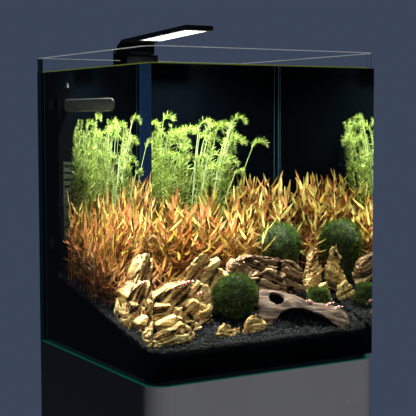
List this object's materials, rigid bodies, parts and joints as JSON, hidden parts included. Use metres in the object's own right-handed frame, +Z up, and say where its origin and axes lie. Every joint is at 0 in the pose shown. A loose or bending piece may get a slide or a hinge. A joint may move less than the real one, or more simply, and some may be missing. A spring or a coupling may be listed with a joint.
{
  "type": "aquarium on stand",
  "caption": "Rimless planted glass tank with rounded front corners on a plain cabinet stand, clamp-on lamp and corner filter.",
  "frame": {"origin": "middle of the square footprint, on the floor, at the underside of the stand", "axes": "+Z up, front of the stand and tank faces -Y, +X to the right as seen from the front"},
  "size_m": [0.38, 0.409, 1.2119],
  "materials": {
    "stand_lacquer": "satin grey lacquer over board",
    "shelf_board": "matt foil on board",
    "steel": "satin",
    "black_rubber": "matt",
    "black_plastic": "fine grain",
    "grey_plastic": "smooth",
    "clear_glass": "polished, faint green edge",
    "clear_silicone": "clear",
    "film_black": "matt",
    "gravel": "rough small grains",
    "yellow_stone": "rough layered",
    "grey_stone": "rough layered",
    "moss": "dense soft tufts",
    "driftwood": "weathered grain",
    "green_leaf": "soft fine leaves",
    "orange_leaf": "soft narrow leaves",
    "smoke_plastic": "translucent smoke",
    "sponge": "open foam",
    "motor_resin": "cast",
    "ceramic_shaft": "ground",
    "black_aluminium": "black anodised",
    "led_white": "white board",
    "lit_diffuser": "opal, lit"
  },
  "bodies": {
    "aquarium": {"back_pane": "clear_glass", "back_panel": "stand_lacquer", "background_film": "film_black", "base_pane": "clear_glass", "bent_glass": "clear_glass", "bottom_panel": "stand_lacquer", "cable_gland": "black_rubber", "clamp_body": "black_plastic", "clamp_pads": "black_rubber", "door_stop": "shelf_board", "driftwood": "driftwood", "filter_grille": "smoke_plastic", "filter_housing": "black_plastic", "filter_sponge": "sponge", "front_moss_ball": "moss", "front_slab": "yellow_stone", "front_stones": "yellow_stone", "gravel_bed": "gravel", "green_stem_plants": "green_leaf", "impeller_shaft": "ceramic_shaft", "latch_body": "black_plastic", "left_rock": "yellow_stone", "low_rock": "yellow_stone", "main_rock": "yellow_stone", "middle_rock": "grey_stone", "moss_pad": "moss", "orange_leaf_plants": "orange_leaf", "port_grommet": "black_rubber", "pump_head": "black_plastic", "pump_lid": "black_plastic", "pump_motor": "motor_resin", "pump_strainer": "grey_plastic", "rear_moss_ball": "moss", "shelf": "shelf_board", "shelf_pins": "steel", "side_rock": "yellow_stone", "silicone_seams": "clear_silicone", "stand_shell": "stand_lacquer", "suction_cups": "black_rubber", "tilt_pin": "steel", "top_panel": "stand_lacquer"},
    "door": {"door": "stand_lacquer", "strike_plate": "steel", "door_pins": "steel"},
    "lamp_head": {"lamp_arm": "black_aluminium", "lamp_housing": "black_aluminium", "lamp_end_cap": "black_plastic", "led_board": "led_white", "lamp_diffuser": "lit_diffuser"},
    "latch_plunger": {"latch_plunger": "grey_plastic"},
    "clamp_screw": {"clamp_screw": "black_plastic"},
    "lamp_button": {"lamp_button": "grey_plastic"},
    "outlet_nozzle": {"outlet_nozzle": "smoke_plastic"},
    "impeller": {"impeller": "grey_plastic"},
    "flow_dial": {"flow_dial": "grey_plastic"}
  },
  "joints": [
    {"name": "door_hinge", "type": "hinge", "parent": "aquarium", "child": "door", "pos_m": [-0.12, -0.182, 0.335], "axis": [0, 0, -1], "range_deg": [0, 100]},
    {"name": "latch_push", "type": "slide", "parent": "aquarium", "child": "latch_plunger", "axis": [0, 1, 0], "range_m": [0, 0.0026], "stiffness_N_per_m": 400},
    {"name": "lamp_tilt", "type": "hinge", "parent": "aquarium", "child": "lamp_head", "pos_m": [-0.025, 0.203, 1.184], "axis": [-1, 0, 0], "range_deg": [0, 85]},
    {"name": "clamp_screw_turn", "type": "hinge", "parent": "aquarium", "child": "clamp_screw", "pos_m": [-0.02, 0.209, 1.161], "axis": [0, 1, 0], "range_deg": [-360, 360]},
    {"name": "lamp_button_press", "type": "slide", "parent": "lamp_head", "child": "lamp_button", "axis": [0, -0.0419, -0.9991], "range_m": [0, 0.0008], "stiffness_N_per_m": 500},
    {"name": "outlet_swivel", "type": "hinge", "parent": "aquarium", "child": "outlet_nozzle", "pos_m": [-0.145, 0.12, 1.095], "axis": [0, 1, 0], "range_deg": [-60, 60]},
    {"name": "impeller_spin", "type": "hinge", "parent": "aquarium", "child": "impeller", "pos_m": [-0.153, 0.153, 1.09], "axis": [0, 0, 1], "continuous": true},
    {"name": "flow_dial_turn", "type": "hinge", "parent": "aquarium", "child": "flow_dial", "pos_m": [-0.136, 0.136, 1.12], "axis": [0, 0, 1], "range_deg": [-135, 135]}
  ]
}
